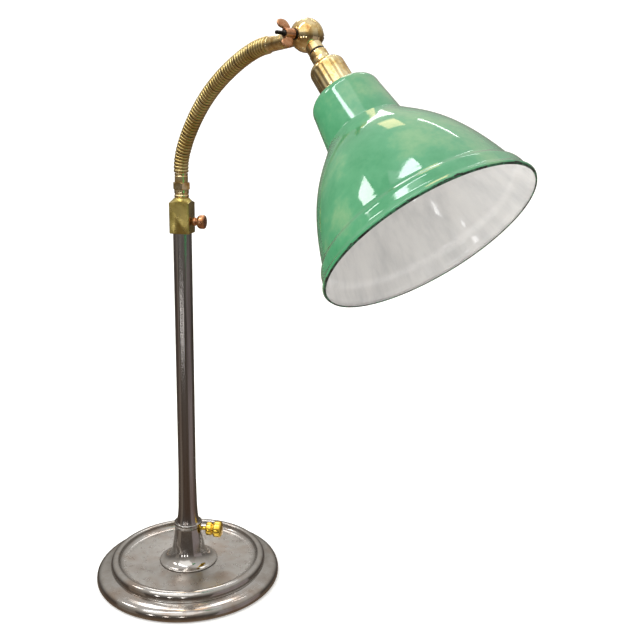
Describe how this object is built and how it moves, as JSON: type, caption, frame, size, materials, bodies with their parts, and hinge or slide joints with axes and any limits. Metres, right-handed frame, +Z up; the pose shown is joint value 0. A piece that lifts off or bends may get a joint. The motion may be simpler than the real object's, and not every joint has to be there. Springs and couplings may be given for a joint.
{
  "type": "gooseneck desk lamp",
  "caption": "Desk lamp with a round dished base, a stem locked by a thumb screw, a ribbed gooseneck, a ball knuckle with a wing nut and a bell shade.",
  "frame": {"origin": "centre of the felt's underside, where the lamp rests, on the stem's axis", "axes": "+Z up the stem; +X the way the gooseneck bends and the shade leans; +Y across them"},
  "size_m": [0.4961, 0.202, 0.5826],
  "materials": {
    "polished_brass": "turned and polished brass, lightly aged",
    "yellow_brass": "knurled and polished brass thumb screws",
    "copper_brown": "cast copper-coloured brass, worn",
    "polished_steel": "spun and polished steel, dark streaks",
    "dark_steel": "darkened steel",
    "cast_iron": "rough cast iron",
    "green_enamel": "vitreous enamel, green outside and white inside, chipped black at the rim",
    "fibre": "black vulcanised fibre",
    "porcelain": "glazed porcelain",
    "felt": "pressed wool felt",
    "rubber": "moulded rubber",
    "flex_sheath": "braided cotton over rubber insulation",
    "bulb_glass": "opal glass"
  },
  "bodies": {
    "base": {"base_shell": "polished_steel", "base_weight": "cast_iron", "base_felt": "felt", "neck_casting": "polished_steel", "neck_washer": "dark_steel", "neck_lock_nut": "dark_steel", "cord_inlet_bush": "rubber", "base_flex": "flex_sheath"},
    "base_screw": {"base_thumb_screw": "yellow_brass"},
    "stem": {"stem_tube": "polished_steel", "stem_flex": "flex_sheath"},
    "arm_foot": {"clamp_block": "polished_brass", "union_body": "polished_brass", "union_nut": "polished_brass", "hose_foot_ferrule": "polished_brass", "foot_flex": "flex_sheath", "hose_1": "polished_brass", "flex_1": "flex_sheath"},
    "block_screw": {"block_thumb_screw": "copper_brown"},
    "gooseneck_2": {"hose_2": "polished_brass", "flex_2": "flex_sheath"},
    "gooseneck_3": {"hose_3": "polished_brass", "flex_3": "flex_sheath"},
    "gooseneck_4": {"hose_4": "polished_brass", "flex_4": "flex_sheath"},
    "gooseneck_5": {"hose_5": "polished_brass", "flex_5": "flex_sheath"},
    "gooseneck_6": {"hose_6": "polished_brass", "flex_6": "flex_sheath"},
    "gooseneck_7": {"hose_7": "polished_brass", "flex_7": "flex_sheath"},
    "gooseneck_8": {"hose_8": "polished_brass", "flex_8": "flex_sheath"},
    "gooseneck_9": {"hose_9": "polished_brass", "flex_9": "flex_sheath", "hose_tip_ferrule": "polished_brass", "knuckle_half_arm": "polished_brass", "clamp_screw": "dark_steel", "spring_washer": "dark_steel"},
    "knuckle_nut": {"wing_nut": "copper_brown"},
    "head": {"knuckle_half_head": "polished_brass", "neck_ring": "fibre", "neck_collar": "polished_brass", "lampholder_cap": "polished_brass", "lampholder_insulator": "porcelain", "lampholder_barrel": "polished_brass", "shade_ring": "fibre", "shade": "green_enamel", "bulb_cap": "polished_brass", "bulb_glass": "bulb_glass", "head_flex": "flex_sheath"},
    "contact_1": {"contact_plunger_1": "polished_brass"},
    "contact_2": {"contact_plunger_2": "polished_brass"}
  },
  "joints": [
    {"name": "base_screw_turn", "type": "hinge", "parent": "base", "child": "base_screw", "pos_m": [0, 0, 0.0554], "axis": [0.7431, 0.6691, 0], "continuous": true},
    {"name": "stem_turn", "type": "hinge", "parent": "base", "child": "stem", "pos_m": [0, 0, 0.05], "axis": [0, 0, 1], "range_deg": [-170, 170]},
    {"name": "arm_turn", "type": "hinge", "parent": "stem", "child": "arm_foot", "pos_m": [0, 0, 0.4], "axis": [0, 0, 1], "range_deg": [-170, 170]},
    {"name": "block_screw_turn", "type": "hinge", "parent": "arm_foot", "child": "block_screw", "pos_m": [0, 0, 0.3984], "axis": [0.7923, 0.6101, 0], "continuous": true},
    {"name": "gooseneck_bend", "type": "hinge", "parent": "arm_foot", "child": "gooseneck_2", "pos_m": [0.00414, 0, 0.46836], "axis": [0, 1, 0], "range_deg": [-8, 2.5]},
    {"name": "gooseneck_bend_2", "type": "hinge", "parent": "gooseneck_2", "child": "gooseneck_3", "pos_m": [0.01492, 0, 0.48676], "axis": [0, 1, 0], "range_deg": [-8, 2.5]},
    {"name": "gooseneck_bend_3", "type": "hinge", "parent": "gooseneck_3", "child": "gooseneck_4", "pos_m": [0.02832, 0, 0.50338], "axis": [0, 1, 0], "range_deg": [-8, 2.5]},
    {"name": "gooseneck_bend_4", "type": "hinge", "parent": "gooseneck_4", "child": "gooseneck_5", "pos_m": [0.04354, 0, 0.51835], "axis": [0, 1, 0], "range_deg": [-8, 2.5]},
    {"name": "gooseneck_bend_5", "type": "hinge", "parent": "gooseneck_5", "child": "gooseneck_6", "pos_m": [0.06044, 0, 0.53139], "axis": [0, 1, 0], "range_deg": [-8, 2.5]},
    {"name": "gooseneck_bend_6", "type": "hinge", "parent": "gooseneck_6", "child": "gooseneck_7", "pos_m": [0.07865, 0, 0.54253], "axis": [0, 1, 0], "range_deg": [-8, 2.5]},
    {"name": "gooseneck_bend_7", "type": "hinge", "parent": "gooseneck_7", "child": "gooseneck_8", "pos_m": [0.09778, 0, 0.55203], "axis": [0, 1, 0], "range_deg": [-8, 2.5]},
    {"name": "gooseneck_bend_8", "type": "hinge", "parent": "gooseneck_8", "child": "gooseneck_9", "pos_m": [0.11772, 0, 0.55964], "axis": [0, 1, 0], "range_deg": [-8, 2.5]},
    {"name": "knuckle_nut_turn", "type": "hinge", "parent": "gooseneck_9", "child": "knuckle_nut", "pos_m": [0.18798, 0, 0.56879], "axis": [0, 1, 0], "continuous": true},
    {"name": "head_tilt", "type": "hinge", "parent": "gooseneck_9", "child": "head", "pos_m": [0.18798, 0, 0.56879], "axis": [0, 1, 0], "range_deg": [-60, 35]},
    {"name": "contact_1_travel", "type": "slide", "parent": "head", "child": "contact_1", "axis": [-0.682, 0, 0.7314], "range_m": [0, 0.0015], "stiffness_N_per_m": 600},
    {"name": "contact_2_travel", "type": "slide", "parent": "head", "child": "contact_2", "axis": [-0.682, 0, 0.7314], "range_m": [0, 0.0015], "stiffness_N_per_m": 600}
  ]
}
